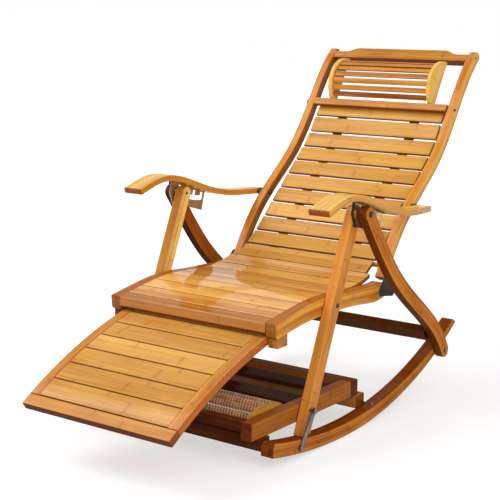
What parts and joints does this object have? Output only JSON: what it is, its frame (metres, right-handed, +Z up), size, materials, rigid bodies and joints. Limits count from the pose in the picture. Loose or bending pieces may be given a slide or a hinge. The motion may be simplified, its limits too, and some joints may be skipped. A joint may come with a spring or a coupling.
{
  "type": "folding rocking chaise longue",
  "caption": "Folding bamboo rocking lounge chair with a reclining slatted back, head pillow, armrests, arc sliding footrest and bead roller foot massager.",
  "frame": {"origin": "floor level, middle of the chair's width and length with the footrest out", "axes": "+Z up, the sitter looks along -Y, +X is the sitter's left"},
  "size_m": [0.6332, 1.3138, 0.896],
  "materials": {
    "bamboo": "clear lacquered laminated bamboo",
    "pale_bamboo": "clear lacquered pale bamboo board",
    "beads": "turned lacquered beads",
    "steel": "zinc plated",
    "dark_steel": "dark bronze paint",
    "webbing": "dark brown woven webbing"
  },
  "bodies": {
    "base": {"rocker_left": "bamboo", "rocker_right": "bamboo", "base_crossbar_front": "bamboo", "base_crossbar_rear": "bamboo", "massage_beam_left": "bamboo", "massage_beam_right": "bamboo", "massage_rear_bar": "bamboo", "massage_front_bar": "bamboo", "massage_board": "bamboo", "massage_rear_slat": "bamboo", "massage_cheeks": "pale_bamboo", "massage_axles": "steel", "latch_pivot_bolts": "steel", "rocker_bolts": "steel", "base_screws": "steel"},
    "roller_1": {"massage_roller_1": "beads"},
    "roller_2": {"massage_roller_2": "beads"},
    "roller_3": {"massage_roller_3": "beads"},
    "roller_4": {"massage_roller_4": "beads"},
    "latch_left": {"latch_strap_left": "steel"},
    "latch_right": {"latch_strap_right": "steel"},
    "rear_legs": {"rear_leg_left": "bamboo", "rear_leg_right": "bamboo", "rear_leg_crossbar": "bamboo", "top_bolts": "steel", "rear_leg_screws": "steel"},
    "front_legs": {"front_leg_left": "bamboo", "front_leg_right": "bamboo", "latch_studs": "steel", "seat_pivot_bolts": "steel"},
    "seat": {"seat_rail_left": "bamboo", "seat_rail_right": "bamboo", "seat_front_bar": "bamboo", "seat_slats": "bamboo", "seat_rear_bar": "bamboo", "hinge_plates": "dark_steel", "footrest_guide_blocks": "bamboo", "footrest_guide_pins": "steel"},
    "back_pivots": {"back_pivot_bolts": "steel"},
    "back": {"back_rail_left": "bamboo", "back_rail_right": "bamboo", "back_middle_rail": "bamboo", "back_top_rail": "bamboo", "back_slats": "bamboo", "webbing_anchor_bar": "bamboo", "webbing_straps": "webbing", "pillow_cheeks": "pale_bamboo", "pillow_slats": "bamboo", "back_rail_screws": "steel"},
    "arm_pivots": {"armrest_pivot_bolts": "steel"},
    "arms": {"armrest_left": "bamboo", "armrest_right": "bamboo", "comb_bracket_left": "dark_steel", "comb_bracket_right": "dark_steel"},
    "footrest": {"footrest_rail_left": "bamboo", "footrest_rail_right": "bamboo", "footrest_front_bar": "bamboo", "footrest_rear_bar": "bamboo", "footrest_slats": "bamboo"}
  },
  "joints": [
    {"name": "rocker_pivot", "type": "hinge", "parent": "base", "child": "rear_legs", "pos_m": [0, 0.3682, 0.118], "axis": [-1, 0, 0], "range_deg": [0, 16.8]},
    {"name": "fold", "type": "hinge", "parent": "rear_legs", "child": "front_legs", "pos_m": [0, -0.0238, 0.538], "axis": [1, 0, 0], "range_deg": [0, 42]},
    {"name": "seat_pivot", "type": "hinge", "parent": "front_legs", "child": "seat", "pos_m": [0, -0.1088, 0.328], "axis": [-1, 0, 0], "range_deg": [0, 82.45]},
    {"name": "back_fold", "type": "hinge", "parent": "seat", "child": "back_pivots", "pos_m": [0, 0.1762, 0.344], "axis": [1, 0, 0], "range_deg": [0, 87.11]},
    {"name": "recline", "type": "hinge", "parent": "back_pivots", "child": "back", "pos_m": [0, 0.1762, 0.344], "axis": [-1, 0, 0], "range_deg": [-28, 0]},
    {"name": "armrest_fold", "type": "hinge", "parent": "back", "child": "arm_pivots", "pos_m": [0, 0.2962, 0.506], "axis": [-1, 0, 0], "range_deg": [0, 76.33]},
    {"name": "armrest_pivot", "type": "hinge", "parent": "arm_pivots", "child": "arms", "pos_m": [0, 0.2962, 0.506], "axis": [1, 0, 0], "range_deg": [-25.2, 0]},
    {"name": "footrest_slide", "type": "hinge", "parent": "seat", "child": "footrest", "pos_m": [0, -0.0298, -0.8363], "axis": [-1, 0, 0], "range_deg": [0, 17]},
    {"name": "latch_left_swing", "type": "hinge", "parent": "base", "child": "latch_left", "pos_m": [0, -0.2748, 0.026], "axis": [1, 0, 0], "range_deg": [0, 60]},
    {"name": "latch_right_swing", "type": "hinge", "parent": "base", "child": "latch_right", "pos_m": [0, -0.2748, 0.026], "axis": [1, 0, 0], "range_deg": [0, 60]},
    {"name": "roller_1_spin", "type": "hinge", "parent": "base", "child": "roller_1", "pos_m": [0, -0.3458, 0.101], "axis": [1, 0, 0], "continuous": true},
    {"name": "roller_2_spin", "type": "hinge", "parent": "base", "child": "roller_2", "pos_m": [0, -0.3218, 0.11], "axis": [1, 0, 0], "continuous": true},
    {"name": "roller_3_spin", "type": "hinge", "parent": "base", "child": "roller_3", "pos_m": [0, -0.2948, 0.1125], "axis": [1, 0, 0], "continuous": true},
    {"name": "roller_4_spin", "type": "hinge", "parent": "base", "child": "roller_4", "pos_m": [0, -0.2668, 0.111], "axis": [1, 0, 0], "continuous": true}
  ],
  "couplings": [
    {"joint": "rocker_pivot", "follows": "fold", "ratio": 0.4},
    {"joint": "seat_pivot", "follows": "fold", "ratio": 1.9631},
    {"joint": "back_fold", "follows": "fold", "ratio": 2.074},
    {"joint": "armrest_fold", "follows": "fold", "ratio": 1.8174},
    {"joint": "armrest_pivot", "follows": "recline", "ratio": 0.9}
  ]
}
